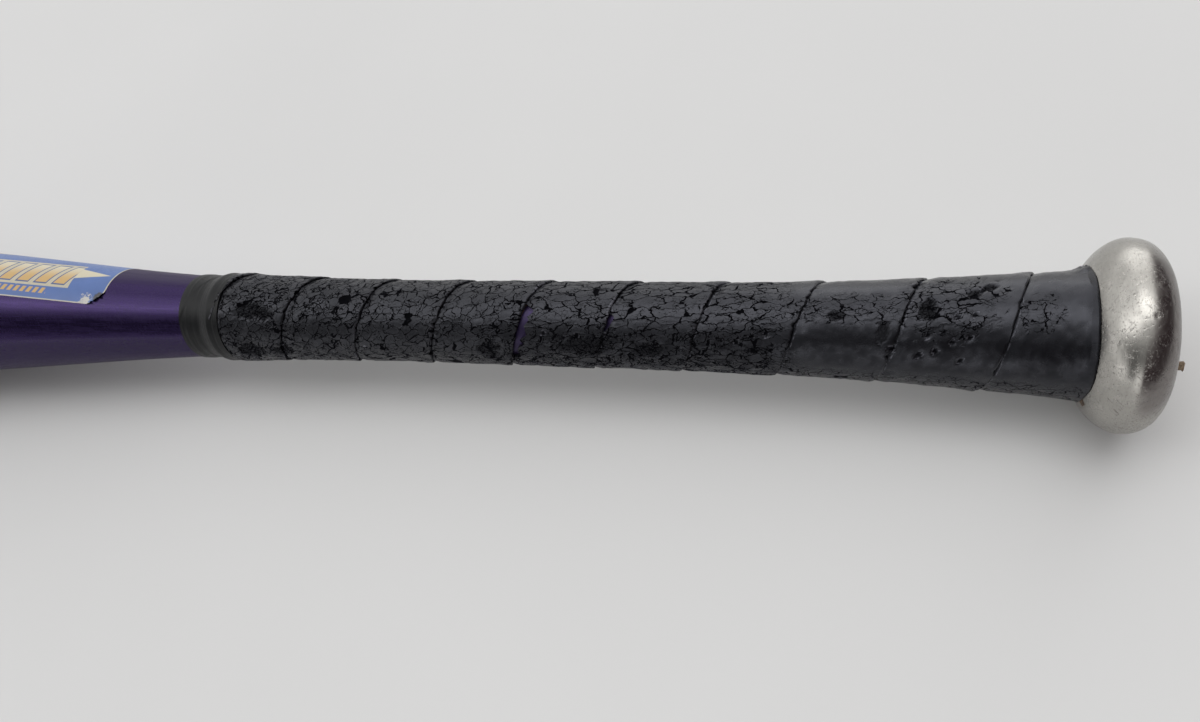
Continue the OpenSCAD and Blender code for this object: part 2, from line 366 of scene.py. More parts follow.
def bump(n, height, distance, strength=1.0):
    inputs = {"Height": height, "Distance": distance * MM, "Strength": strength}
    return n.put("ShaderNodeBump", inputs).outputs[0]


# ---------------------------------------------------------------- materials

def painted_metal(settings):
    """Purple lacquer over aluminium: fine flake, lengthwise rub marks and a hazy film of scratches."""
    material, n, shader, place = new_material("purple_lacquer")
    flake = n.voronoi(place, 5.0)
    streak = n.noise(n.scaled(place, (0.03, 1.1, 1.1)), 1.0, 4.0)
    scratch = n.noise(n.scaled(n.rotated(place, (0.0, 0.75, 0.9)), (0.35, 3.2, 3.2)), 1.0, 5.0, 0.7)
    axes = n.axes(place)
    angle = n.around(axes)
    haze = n.times(n.ramp(scratch, 0.42, 0.68), n.ramp(streak, 0.3, 0.7, 0.15, 0.5))
    rubbed = n.times(n.ramp(angle, 52, 66), n.ramp(angle, 165, 140))
    haze = n.plus(haze, n.times(rubbed, n.ramp(scratch, 0.45, 0.58, 0.1, 0.95)), clamp=True)
    upper = n.times(n.ramp(angle, -8, -30), n.ramp(angle, -130, -100))
    haze = n.plus(haze, n.times(upper, n.ramp(scratch, 0.3, 0.6, 0.3, 0.8)), clamp=True)
    residue = n.ramp(axes[0], 286, 280, 0.0, 0.75)
    haze = n.largest(haze, n.times(residue, n.ramp(n.noise(place, 0.9, 4.0), 0.3, 0.6, 0.5, 1.0)))
    chip = n.ramp(n.noise(place, 0.35, 8.0, 0.75), 0.71, 0.73)
    base = n.mix(n.times(flake, 0.5), settings.paint, shade(settings.paint, 1.7))
    base = n.mix(n.times(haze, 0.75), base, settings.haze)
    base = n.mix(n.times(chip, 0.6), base, settings.metal)
    metal = n.minus(0.85, n.times(haze, 0.55))
    rough = n.plus(n.ramp(streak, 0.3, 0.75, 0.22, 0.32), n.times(haze, 0.22))
    height = n.minus(n.times(scratch, 0.4), chip)
    connect(
        n, shader, Base_Color=base, Metallic=metal, Roughness=rough, Normal=bump(n, height, 0.02, 0.35),
        Coat_Weight=0.1, Coat_Roughness=0.15, Specular_IOR_Level=0.3, Specular_Tint=(0.4, 0.34, 0.5),
    )
    return material


def bare_metal(settings):
    """Satin aluminium with turning marks, scratches, pits, a scuffed lower side and a zone of tarnish that is
    partly a painted dark reflection.
    """
    material, n, shader, place = new_material("bare_aluminium")
    tarnish_and_dark_reflection, dirt = (0.10, 0.080, 0.085), (0.10, 0.085, 0.08)
    turning = n.noise(n.scaled(place, (7.0, 0.10, 0.10)), 1.0, 3.0)
    cloud = n.noise(place, 0.16, 4.0)
    scuffed = n.ramp(n.plus(n.distance(place, (5.0, 24.0, -6.0)), n.times(cloud, 8.0)), 19, 8)
    marks = n.ramp(n.noise(place, 1.5, 6.0, 0.8), 0.62, 0.665, 0.0, 0.9)
    for turn, grain in (((0.3, 0.2, 0.7), 3.1), ((1.1, 0.4, 2.2), 4.3), ((0.5, 1.3, 1.4), 3.7)):
        line = n.noise(n.scaled(n.rotated(place, turn), (0.22, grain, grain)), 1.0, 3.0, 0.6)
        low = n.minus(0.655, n.times(scuffed, 0.06))
        line = n.times(n.minus(line, low), 40.0, clamp=True)
        marks = n.largest(marks, n.times(line, 0.8))
    base = n.mix(n.ramp(cloud, 0.35, 0.7, 0.0, 0.5), settings.metal, shade(settings.metal, 0.8))
    axes = n.axes(place)
    angle = n.around(axes)
    # Tarnish and painted reflection: a darker zone on the knob's far side, partly real tarnish and partly the
    # room's dark reflection painted in
    ragged = n.plus(axes[0], n.times(n.noise(n.scaled(place, (0.6, 0.5, 0.5)), 0.5, 4.0), 4.0))
    reach = n.minus(ragged, n.ramp(angle, 20, 55, 0.0, 2.6))
    stain_and_painted_reflection = n.times(n.ramp(reach, 9.6, 6.4), n.ramp(angle, -45, -12), n.ramp(angle, 88, 68))
    base = n.mix(n.times(stain_and_painted_reflection, 0.6), base, tarnish_and_dark_reflection)
    brushed = n.noise(n.scaled(place, (5.0, 0.5, 0.5)), 1.0, 3.0, 0.7)
    base = n.mix(n.ramp(brushed, 0.42, 0.7, 0.0, 0.35), base, shade(settings.metal, 0.62))
    base = n.mix(n.times(marks, 0.85), base, dirt)
    rough = n.plus(n.ramp(cloud, 0.3, 0.7, 0.25, 0.31), n.times(marks, 0.25), n.times(scuffed, 0.1))
    dents = n.ramp(n.noise(place, 0.9, 3.0), 0.60, 0.68, 0.0, 0.9)
    height = n.minus(n.times(turning, 0.10), n.plus(marks, dents))
    connect(n, shader, Base_Color=base, Metallic=1.0, Roughness=rough, Normal=bump(n, height, 0.06, 0.6))
    return material


def leather_field(n, wrap, wear, stretch):
    """Cracks, the slope up to each scale's curled rim, and a random value for each scale of skin."""
    drift = n.scaled(n.vector("SUBTRACT", n.warp(wrap, 0.45, 3.0), (0.5, 0.5, 0.5)), (3.0, 3.0, 0.0))
    moved = n.vector("ADD", wrap, drift)
    opening = n.noise(wrap, 0.2, 3.0)
    edges, tones = [], []
    for size in ((3.4, 2.7, 1.0), (6.5, 2.4, 1.0)):
        cell = n.scaled(moved, tuple(1 / s for s in size))
        edges.append(n.voronoi(cell, 1.0, "DISTANCE_TO_EDGE"))
        tones.append(n.voronoi(cell, 1.0, "F1", "Color"))
    pick = n.math("GREATER_THAN", n.plus(stretch, n.times(n.noise(wrap, 0.3, 1.0), 0.4)), 0.7)
    edge = n.put("ShaderNodeMix", {0: pick, 2: edges[0], 3: edges[1]}, data_type="FLOAT").outputs[0]
    width = n.times(wear, n.ramp(opening, 0.34, 0.70, 0.020, 0.058))
    crack = n.flip(n.math("DIVIDE", edge, n.plus(width, 0.004), True), clamp=True)
    crack = n.math("POWER", n.times(crack, n.ramp(wear, 0.12, 0.4)), 0.7)
    rim = n.times(n.flip(n.ramp(edge, 0.02, 0.24)), wear)
    tone = n.axes(n.mix(pick, tones[0], tones[1]))[0]
    return crack, rim, tone


def cracked_leather(settings):
    """Synthetic leather: scales of dry skin between dark cracks, torn patches and polished stretches."""
    material, n, shader, _ = new_material("cracked_leather")
    wrap = attribute(n, "wrap", "Vector")
    wear, stretch, peel, pit_and_seam_shade, dry, grime_and_painted_shade = (
        attribute(n, name) for name in ("wear", "stretch", "peel", "pit_and_seam_shade", "dry", "grime_and_painted_shade")
    )
    crack, rim, tone = leather_field(n, wrap, wear, stretch)
    grain = n.noise(wrap, 4.0, 4.0, 0.7)
    cloud = n.noise(wrap, 0.25, 4.0)
    # A finer net of cracks that opens in the grimy and torn stretches
    sway = n.scaled(n.warp(wrap, 0.9, 2.0), (1.6, 1.6, 0))
    fine_at = n.vector("ADD", n.scaled(wrap, (0.85, 1.0, 1.0)), sway)
    net_width = n.times(n.ramp(n.noise(wrap, 0.33, 3.0), 0.42, 0.66), n.plus(0.06, n.times(grime_and_painted_shade, 0.14)))
    net_width = n.largest(net_width, n.times(peel, 0.12))
    net = n.math("DIVIDE", n.voronoi(fine_at, 1.0, "DISTANCE_TO_EDGE"), n.plus(net_width, 0.004), True)
    net = n.times(n.flip(net, clamp=True), n.ramp(wear, 0.1, 0.5))
    crack = n.largest(crack, n.times(net, 0.85))
    pale = n.times(n.ramp(tone, 0.3, 0.95), n.times(wear, 0.28))
    pale = n.plus(pale, n.times(dry, n.ramp(cloud, 0.35, 0.65, 0.15, 1.0)), clamp=True)
    pale = n.times(pale, n.flip(n.times(grime_and_painted_shade, 0.8)))
    base = n.mix(pale, settings.leather, settings.flake)
    base = n.mix(n.ramp(grain, 0.4, 0.7, 0.0, 0.3), base, shade(settings.leather, 0.5))
    torn = n.times(peel, n.ramp(n.noise(wrap, 1.6, 3.0), 0.35, 0.5, 0.55, 1.0))
    base = n.mix(torn, base, shade(settings.leather, 0.4))
    base = n.mix(n.times(pit_and_seam_shade, 0.8), base, settings.crack)
    # Dry lips round the perforations and along the strip's edge, and a few pale crumbs
    lips = n.times(n.ramp(pit_and_seam_shade, 0.04, 0.2), n.ramp(pit_and_seam_shade, 0.6, 0.3), n.ramp(n.noise(wrap, 1.1, 2.0), 0.45, 0.6))
    lips = n.largest(lips, n.ramp(dry, 1.05, 1.5))
    crumb = n.times(n.ramp(n.voronoi(wrap, 0.085), 0.05, 0.03), n.ramp(cloud, 0.5, 0.56))
    lips = n.largest(n.times(lips, 0.7), n.times(crumb, wear))
    base = n.mix(lips, base, shade(settings.flake, 3.6))
    base = n.mix(n.ramp(crack, 0.1, 0.55), base, settings.crack)
    rough = n.minus(n.ramp(cloud, 0.3, 0.7, 0.32, 0.44), n.times(n.flip(wear), 0.10))
    rough = n.plus(rough, n.times(torn, 0.3), clamp=True)
    rough = n.largest(rough, n.ramp(crack, 0.1, 0.5))
    height = n.plus(n.times(grain, 0.12), n.times(tone, n.times(wear, 0.30)), n.times(rim, 0.22))
    height = n.minus(n.minus(height, crack), n.times(torn, n.ramp(grain, 0.3, 0.7, 0.2, 0.6)))
    # Painted shade: a metal with almost no colour keeps the shine of the room out of the cracks, the torn
    # skin, the perforations, the seams and the grimy, shaded lower side
    shadow = n.largest(
        n.ramp(crack, 0.1, 0.5, 0.0, 0.92), n.times(torn, 0.5), n.ramp(pit_and_seam_shade, 0.5, 0.9, 0.0, 0.9),
        n.times(grime_and_painted_shade, n.ramp(cloud, 0.4, 0.62, 0.0, 0.45)),
    )
    connect(
        n, shader, Base_Color=base, Metallic=shadow, Roughness=rough, Normal=bump(n, height, 0.3),
        Specular_IOR_Level=0.5, Specular_Tint=(0.86, 0.88, 1.0),
    )
    return material


def amber_tape(settings):
    """Tacky double-sided tape, yellowed and dirty at its edges."""
    material, n, shader, place = new_material("amber_tape")
    dirt = n.noise(place, 1.2, 5.0)
    base = n.mix(n.ramp(dirt, 0.3, 0.6), settings.adhesive, (0.055, 0.034, 0.02))
    rough = n.ramp(dirt, 0.3, 0.7, 0.3, 0.6)
    connect(n, shader, Base_Color=base, Roughness=rough, Normal=bump(n, dirt, 0.1))
    return material


def vinyl(settings):
    """Stretched vinyl tape: smooth, slightly glossy, with creases round it."""
    material, n, shader, place = new_material("finishing_vinyl")
    crease = n.noise(n.scaled(place, (1.6, 0.10, 0.10)), 1.0, 3.0)
    dust = n.noise(place, 1.0, 5.0, 0.7)
    base = n.mix(n.ramp(dust, 0.45, 0.75, 0.0, 0.55), settings.vinyl, shade(settings.vinyl, 1.7))
    connect(
        n, shader, Base_Color=base, Roughness=n.ramp(dust, 0.3, 0.7, 0.34, 0.5),
        Normal=bump(n, crease, 0.25, 0.5), Specular_IOR_Level=0.2,
    )
    return material


def band(n, value, low, high, soft=0.12):
    """1 between low and high and 0 outside, with soft edges."""
    return n.times(n.ramp(value, low - soft, low + soft), n.flip(n.ramp(value, high - soft, high + soft)))


def slanted_bars(n, along, across, pitch, width, low, high, grow=0.0):
    """A row of leaning bars, as a mask."""
    step = n.math("PINGPONG", n.plus(along, n.times(across, 0.42)), pitch / 2)
    half = width / 2 + grow
    return n.times(n.flip(n.ramp(step, half - 0.12, half + 0.12)), band(n, across, low - grow, high + grow))


def kite(n, along, across, middle, half, tall):
    """A long four-pointed kite, as a mask."""
    dx = n.math("ABSOLUTE", n.math("DIVIDE", n.minus(along, middle[0]), half))
    dy = n.math("ABSOLUTE", n.math("DIVIDE", n.minus(across, middle[1]), tall))
    return n.flip(n.ramp(n.plus(dx, dy), 0.97, 1.03))


def printed_label(settings):
    """Blue film with abstract gold bars on cream kites, a cream border, and a scuffed corner."""
    material, n, shader, place = new_material("printed_label")
    print_at = attribute(n, "print", "Vector")
    along, across = n.axes(print_at)[:2]
    ground, gold, cream = settings.ground, settings.gold, settings.cream
    scuffs = n.noise(place, 1.1, 6.0, 0.75)
    base = n.mix(n.noise(place, 0.12, 3.0), ground, shade(ground, 1.45))
    # The middle of each kite, its half-length and its half-height
    kites = (((27, 12), 25, 5), ((70, 12), 30, 5), ((36, 9.4), 5, 4.6), ((66, 32), 48, 9))
    base = n.mix(n.largest(*(kite(n, along, across, *shape) for shape in kites)), base, cream)
    # Each bar has a cream halo and a dark outline
    faded = n.mix(n.ramp(across, 8, 15), gold, cream)
    inside = band(n, along, 15, 58)
    for grow, tone in ((1.5, shade(cream, 0.85)), (0.55, shade(ground, 0.8)), (0.0, faded)):
        base = n.mix(n.times(slanted_bars(n, along, across, 7.4, 4.4, 6.5, 15.5, grow), inside), base, tone)
    ticks = n.times(slanted_bars(n, along, across, 2.6, 1.5, 2.2, 4.3), band(n, along, 23, 44))
    base = n.mix(ticks, base, gold)
    base = n.mix(n.largest(band(n, across, 42.5, 43.3), band(n, across, 44.6, 45.2)), base, gold)
    border = n.largest(n.flip(band(n, across, 0.4, 47.5)), n.flip(n.ramp(along, 0.3, 0.55)))
    base = n.mix(n.times(border, 0.85), base, cream)
    # Bare paper round the torn corner, and dirt in the tear itself
    corner = n.plus(n.distance(print_at, (6.5, 1.2, 0)), n.times(scuffs, 9.0))
    base = n.mix(n.flip(n.ramp(corner, 6.0, 6.8)), base, (0.5, 0.48, 0.44))
    tear = n.plus(n.distance(print_at, (1.6, 2.6, 0)), n.times(scuffs, 3.0))
    base = n.mix(n.flip(n.ramp(tear, 3.0, 3.8)), base, (0.02, 0.018, 0.02))
    base = n.mix(n.times(n.ramp(scuffs, 0.67, 0.74), 0.5), base, cream)
    connect(
        n, shader, Base_Color=base, Roughness=n.ramp(scuffs, 0.3, 0.7, 0.32, 0.5),
        Normal=bump(n, scuffs, 0.03, 0.6), Coat_Weight=0.2, Coat_Roughness=0.2,
    )
    return material


def plain(name, tone, roughness, scale, depth, metallic=0.0, contrast=0.35):
    """A grained material for the small and the hidden pieces: cork, rubber, foam, sealant and weld."""
    material, n, shader, place = new_material(name)
    grain = n.noise(place, scale, 5.0, 0.65)
    base = n.mix(n.ramp(grain, 0.35, 0.65), tone, shade(tone, 1 - contrast))
    rough = n.ramp(grain, 0.3, 0.7, roughness, min(roughness + 0.12, 1.0))
    connect(n, shader, Base_Color=base, Metallic=metallic, Roughness=rough, Normal=bump(n, grain, depth))
    return material


# ---------------------------------------------------------------- pieces

def shell_bmesh(wall):
    """Closed section of the shell, from the handle's end to the lip that is rolled in round the cap."""
    taper_start, station = 100, 4.0
    outer_x = np.arange(taper_start, ROLL_START, station)
    outer_x = np.concatenate([[span("bat_tube")[0]], outer_x, [ROLL_START]])
    outer = list(zip(outer_x, shell_radius(outer_x)))
    roll_centre = (ROLL_START, BARREL_R - ROLL_R)
    lip = arc(roll_centre, ROLL_R, 0, 90, 14)
    curl = arc(roll_centre, ROLL_R - wall, 90, 0, 8)
    inner_x = np.linspace(ROLL_START, outer_x[0], 60)
    inner = list(zip(inner_x[1:], shell_radius(inner_x[1:]) - wall))
    return turned(outer + lip[1:] + curl + inner, 192)


def swept_band(sections, turns_from, turns_to, steps_per_turn):
    """A closed band as a grid along the winding by steps round its section, still flat.

    Each vertex keeps its turn, its share of the width and its share of the thickness.
    """
    steps, count = round((turns_to - turns_from) * steps_per_turn), len(sections)
    bm = bmesh.new()
    bmesh.ops.create_grid(bm, x_segments=steps, y_segments=count, size=0.5)
    turn = bm.verts.layers.float.new("turn")
    across = bm.verts.layers.float.new("across")
    lift = bm.verts.layers.float.new("lift")
    first, last = {}, {}
    for vert in bm.verts:
        i, j = round((vert.co.x + 0.5) * steps), round((vert.co.y + 0.5) * count)
        vert[turn] = turns_from + (turns_to - turns_from) * i / steps
        vert[across], vert[lift] = sections[j % count]
        if j == 0:
            first[i] = vert
        elif j == count:
            last[i] = vert
    bmesh.ops.weld_verts(bm, targetmap={last[i]: first[i] for i in last})
    bmesh.ops.holes_fill(bm, edges=[e for e in bm.edges if e.is_boundary], sides=0)
    bmesh.ops.triangulate(bm, faces=[f for f in bm.faces if len(f.verts) > 4])
    mesh = bpy.data.meshes.new("band")
    bm.to_mesh(mesh)
    bm.free()
    return mesh


def faced_out(mesh):
    """A bmesh of the mesh with its faces turned outwards."""
    bm = bmesh.new()
    bm.from_mesh(mesh)
    bmesh.ops.recalc_face_normals(bm, faces=bm.faces)
    return bm


def read_layer(mesh, name):
    values = np.zeros(len(mesh.vertices))
    mesh.attributes[name].data.foreach_get("value", values)
    return values


# Torn patches of skin: x, angle, half-length and half-width in millimetres, and depth
PATCHES = [
    (261, 19, 5.5, 2.4, 0.4), (263, 76, 5.0, 2.8, 0.45), (251, 78, 3.5, 2.0, 0.4),
    (255, 24, 3.0, 1.6, 0.3), (179, 66, 3.2, 2.8, 0.45), (56, 4, 2.2, 2.8, 0.5),
    (45, -14, 1.6, 1.2, 0.35), (41, -22, 2.0, 1.0, 0.3), (67, 31, 1.6, 2.4, 0.3),
    (79, 12, 2.6, 1.0, 0.3), (148, 55, 7.0, 3.0, 0.2), (130, 60, 5.0, 2.0, 0.2),
    (222, 150, 5.0, 4.0, 0.4), (120, -150, 7.0, 3.0, 0.35), (60, 170, 4.0, 3.0, 0.4),
    (190, -110, 6.0, 3.0, 0.35),
]
# Perforations that are still open: x and angle
PERFORATIONS = [
    (56, 32), (50, 38), (46, 33), (58, 53), (54, 48), (48, 57), (43, -19), (49, 12), (45, 11),
    (155, 47), (151, 43), (105, 46), (101, 39), (97, 35), (65, 47), (161, 41), (159, 61),
    (110, 130), (104, 137), (98, 131), (52, -95), (47, -88), (41, -96), (180, -130), (174, -124),
]


def wrap_angle(angle):
    """The same angle from -180 to 180 degrees."""
    return (angle + 180) % 360 - 180


def patch_mask(x, angle, radius, ragged, patch):
    """1 inside a ragged oval patch, fading to 0 at its edge."""
    px, pa, half_x, half_a = patch[:4]
    arc_off = np.radians(wrap_angle(angle - pa)) * radius
    far = np.hypot((x - px) / half_x, arc_off / half_a)
    return 1 - smoothstep(0.75, 1.15, far + 0.45 * ragged)


def hump(value, low, high, soft):
    """1 between low and high, with soft edges outside them."""
    return smoothstep(low - soft, low, value) * (1 - smoothstep(high, high + soft, value))


def grip_wear(place, x, angle, u, core, ragged, edge_noise):
    """Where the strip is worn, stretched, dried out, grimy or given painted shade, as named layers from 0 up.
    """
    wrapped = wrap_angle(angle)
    drift = noise_at(place, 0.05, 9)
    low_side = smoothstep(70, 90, np.abs(wrapped))
    worn = smoothstep(84, 100, x + 8 * drift)
    torn = patch_mask(x, angle, core, ragged, (50, -4, 12, 8))
    torn = np.maximum(torn, 0.55 * patch_mask(x, angle, core, ragged, (30, 9, 5, 5)))
    torn = np.maximum(torn, 0.8 * patch_mask(x, angle, core, ragged, (74, 2, 17, 4)))
    wear = np.clip(worn * 0.95 + 0.9 * torn + 0.5 * low_side * (1 - worn) + 0.04, 0, 1)
    stretch = np.clip((1 - smoothstep(166, 178, x + 6 * drift)) + 0.6 * low_side, 0, 1)
    belt = np.exp(-(((wrapped - 8) / 20) ** 2))
    dry = belt * smoothstep(88, 104, x) * (1 - smoothstep(150, 185, x)) * 0.9
    dry = dry + 0.4 * np.exp(-(((wrapped + 16) / 24) ** 2)) * (1 - smoothstep(84, 100, x))
    dry_edge = np.maximum(edge_noise + 0.05, 0) * (1 - smoothstep(0.25, 0.8, u)) * worn
    dry = np.minimum(dry, 1) + 2.6 * dry_edge
    # Grime and painted shade: the lower front side of the middle turns and of the turns by the knob is
    # painted duller and darker, and the turns by the finishing tape are darker and more finely cracked
    grime_and_painted_shade = smoothstep(26, 44, wrapped) * (1 - smoothstep(100, 130, wrapped)) * hump(x, 100, 170, 14)
    grime_and_painted_shade = grime_and_painted_shade + 0.8 * hump(wrapped, 26, 66, 14) * (1 - smoothstep(80, 96, x))
    grime_and_painted_shade = np.maximum(grime_and_painted_shade, 0.6 * smoothstep(216, 240, x + 6 * drift))
    return {"wear": wear, "stretch": stretch, "dry": dry, "grime_and_painted_shade": grime_and_painted_shade}


def wind_grip(g):
    """The grip strip: overlapping turns with skived edges, lumps, torn patches and a gap in them."""
    start, end = span("grip_strip")
    under_tape = 272.0
    gap_from, gap_to, gap_soft = 5.035, 5.215, 0.05
    seat = 0.05
    pitch, width, first = g.pitch / MM, g.width / MM, g.first_edge / MM
    thick, edge = g.thickness / MM, g.edge / MM
    lap = width - pitch
    shoulder = thick * 0.7
    top_s = np.concatenate([[0, 0.008, 0.02, 0.04], np.linspace(0.06, 0.97, 47), [0.985, 1.0]])
    sections = [(s, 1.0) for s in top_s] + [(1.0, 0.4)]
    sections += [(s, 0.0) for s in np.linspace(1, 0, 6)] + [(0.0, 0.5)]
    shortest = 1.0
    turns_from = (start + shortest - width - first) / pitch
    turns_to = (end - shortest - first) / pitch
    mesh = swept_band(sections, turns_from, turns_to, 138)
    s, t, turn = read_layer(mesh, "across"), read_layer(mesh, "lift"), read_layer(mesh, "turn")
    angle = 360 * turn
    wrapped = wrap_angle(angle)
    mean_r = 14.0
    length_at = turn * 2 * math.pi * mean_r

    def along(scale, seed):
        steps, where = np.unique(length_at, return_inverse=True)
        line = np.stack([steps, 0 * steps, 0 * steps], 1)
        return noise_at(line, scale, seed)[where]

    chips = np.maximum(along(0.55, 11) - 0.28, 0) * 2.4
    knob_edge = first + pitch * turn + 0.4 * along(0.09, 1) + 0.35 * along(0.45, 2) + chips
    fray = 0.5 * along(0.11, 3) + 0.3 * along(0.7, 4)
    # The strip has pulled apart on the front of the fifth turn, and a little on the fourth
    gap = hump(turn, gap_from, gap_to, gap_soft) * (1 + 0.3 * along(0.5, 12))
    gap = gap + 0.3 * hump(turn, 4.985, 5.01, 0.02)
    small_gap = hump(turn, 4.05, 4.09, 0.04)
    far_edge = knob_edge + width + fray - (lap + 2.7) * gap - (lap + 1.5) * small_gap
    # The start is drawn up on to the knob's shoulder, less so on its lower side
    drawn = 1 - 0.75 * np.exp(-(((wrapped - 105) / 30) ** 2))
    drawn = drawn - 0.5 * np.exp(-(((wrapped + 62) / 26) ** 2))
    drawn = drawn * (1 + 0.12 * noise_at(from_polar(0 * angle, angle, 17), 0.3, 13))
    low = np.maximum(knob_edge, start - 1.05 * drawn)
    high = np.minimum(far_edge, end)
    x = low + (high - low) * s
    u = np.clip(x - knob_edge, 0, width)
    # Height of the strip's top and underside over the tape, across its width
    lapped = shoulder + edge
    top = np.interp(
        u,
        [0, 0.25, 1.0, lap + 3, pitch - 3, pitch, width - 0.5, width],
        [lapped - 0.3, lapped, lapped + 0.1, thick + 0.1, thick, shoulder, edge, edge - 0.3],
    )
    under = np.interp(u, [0, lap, lap + 2.6, width], [shoulder + 0.06, edge + 0.06, 0, 0])
    curl = 0.35 * np.maximum(along(0.16, 14), 0) * (1 - smoothstep(0.2, 2.2, u))
    top = top + curl
    # Where the turn below has pulled away, the edge sinks on to the handle
    sunk = hump(turn - 1, gap_from, gap_to, gap_soft) * (u < lap + 2.6)
    top = top - sunk * under * 0.6
    under = under * (1 - 0.6 * sunk)
    core = core_radius(x)
    place = from_polar(x, angle, core)
    lumps = 0.24 * noise_at(place, 0.13, 5) + 0.10 * noise_at(place, 0.6, 6)
    ragged = noise_at(place, 0.55, 7) + 0.6 * noise_at(place, 1.4, 8)
    tops = t * smoothstep(0.0, 0.02, s) * smoothstep(0.0, 0.02, 1 - s)
    peel = np.zeros(len(x))
    for patch in PATCHES:
        mask = patch_mask(x, angle, core, ragged, patch)
        peel = np.maximum(peel, mask)
        top = top - patch[4] * mask * tops
    pit_and_seam_shade = np.zeros(len(x))
    for px, pa in PERFORATIONS:
        pit_and_seam_shade = np.maximum(pit_and_seam_shade, patch_mask(x, angle, core, 0 * x, (px, pa, 0.75, 0.75)))
    top = top - 0.5 * pit_and_seam_shade * tops + lumps * tops
    # The last stretch is pressed flat under the finishing tape
    pressed = smoothstep(under_tape, under_tape + 0.5, x)
    top = top * (1 - pressed) + np.minimum(top, 0.8) * pressed
    top = np.maximum(top, under + 0.2)
    under_r = core + seat + under
    top_r = core + seat + top
    climb = np.clip((start + 2.2 - x) / 3.25, 0, 1)
    frayed = hump(wrapped, -70, -44, 6) * climb * (0.9 + 1.0 * ragged)
    top_r = top_r + 1.2 * climb ** 2 * drawn + 0.9 * np.maximum(frayed, 0)
    on_knob = np.where(x < start, knob_radius(np.minimum(x, start)) + 0.1, 0)
    under_r = np.maximum(under_r, on_knob)
    top_r = np.maximum(top_r, under_r + 0.35)
    write_points(mesh, from_polar(x, angle, under_r + (top_r - under_r) * t))

    # Painted shade: a dark line on the turn below, just under each turn's overlapping edge, as dark as a
    # perforation
    pit_and_seam_shade = np.maximum(pit_and_seam_shade, 0.8 * smoothstep(pitch - 0.5, pitch - 0.2, u) * (x < under_tape))
    layers = {"wrap": np.stack([u, length_at, 0 * u], 1), "peel": peel, "pit_and_seam_shade": pit_and_seam_shade, "tops": tops}
    layers.update(grip_wear(place, x, angle, u, core, ragged, along(0.13, 15)))
    for name, values in layers.items():
        set_attribute(mesh, name, values)
    return mesh


def crack_relief(piece, depth):
    """Lifts the scales of the leather's pattern between its cracks, and applies it to the mesh."""
    tree = bpy.data.node_groups.new("crack_relief", "GeometryNodeTree")
    tree.interface.new_socket("Geometry", in_out="INPUT", socket_type="NodeSocketGeometry")
    tree.interface.new_socket("Geometry", in_out="OUTPUT", socket_type="NodeSocketGeometry")
    n = Nodes(tree)
    source = n.put("NodeGroupInput")
    sink = n.put("NodeGroupOutput")

    def named(name, kind):
        return n.put("GeometryNodeInputNamedAttribute", {"Name": name}, data_type=kind).outputs["Attribute"]

    wrap, wear, stretch = named("wrap", "FLOAT_VECTOR"), named("wear", "FLOAT"), named("stretch", "FLOAT")
    _, rim, tone = leather_field(n, wrap, wear, stretch)
    rise = n.times(n.minus(tone, 0.5), n.times(wear, 0.8))
    rise = n.minus(rise, n.times(rim, 0.5))
    rise = n.times(rise, depth * MM, named("tops", "FLOAT"))
    normal = n.put("GeometryNodeInputNormal").outputs[0]
    offset = n.put("ShaderNodeVectorMath", {0: normal, "Scale": rise}, operation="SCALE").outputs[0]
    moved = n.put("GeometryNodeSetPosition", {"Geometry": source.outputs[0], "Offset": offset})
    tree.links.new(moved.outputs[0], sink.inputs[0])
    modifier = piece.modifiers.new("crack_relief", "NODES")
    modifier.node_group = tree
    evaluated = piece.evaluated_get(bpy.context.evaluated_depsgraph_get())
    applied = bpy.data.meshes.new_from_object(evaluated)
    piece.modifiers.clear()
    piece.data = applied


def label_bmesh(g):
    """The label's film: a grid bent round the taper, with its knob-side lower corner torn and curled up."""
    start, end = span("taper_decal")
    lower = 5.0
    tall = 47.9
    bm = bmesh.new()
    bmesh.ops.create_grid(bm, x_segments=160, y_segments=70, size=0.5)
    along_layer = bm.verts.layers.float.new("along")
    across_layer = bm.verts.layers.float.new("across")
    for vert in bm.verts:
        along = (vert.co.x + 0.5) ** 1.3 * (end - start)
        across = (vert.co.y + 0.5) ** 1.2 * tall
        vert[along_layer] = along
        vert[across_layer] = across
    torn = []
    for face in bm.faces:
        middle_a = sum(v[along_layer] for v in face.verts) / len(face.verts)
        middle_c = sum(v[across_layer] for v in face.verts) / len(face.verts)
        ragged = 0.9 * noise.noise(Vector((middle_a * 0.9, middle_c * 0.9, 3.0)))
        if middle_a * 0.75 + middle_c + ragged < 3.6:
            torn.append(face)
    bmesh.ops.delete(bm, geom=torn, context="FACES")
    for vert in bm.verts:
        along, across = vert[along_layer], vert[across_layer]
        x = start + along
        radius = float(shell_radius(x))
        corner = max(0.0, 1 - (along * 0.75 + across - 3.0) / 3.2)
        flutter = 0.10 * noise.noise(Vector((along * 0.3, across * 0.3, 7.0))) * max(0.0, 1 - across / 4)
        lift = 0.06 + 1.1 * corner ** 2 + max(flutter, 0)
        arc_at = lower - 0.03 * along - across
        angle = arc_at / radius
        vert.co = (x * MM, (radius + lift) * math.sin(angle) * MM, (radius + lift) * math.cos(angle) * MM)
    bmesh.ops.recalc_face_normals(bm, faces=bm.faces)
    if sum(f.normal.dot(f.calc_center_median() * Vector((0, 1, 1))) for f in bm.faces) < 0:
        bmesh.ops.reverse_faces(bm, faces=bm.faces)
    bmesh.ops.solidify(bm, geom=bm.faces, thickness=g.thickness)
    return bm


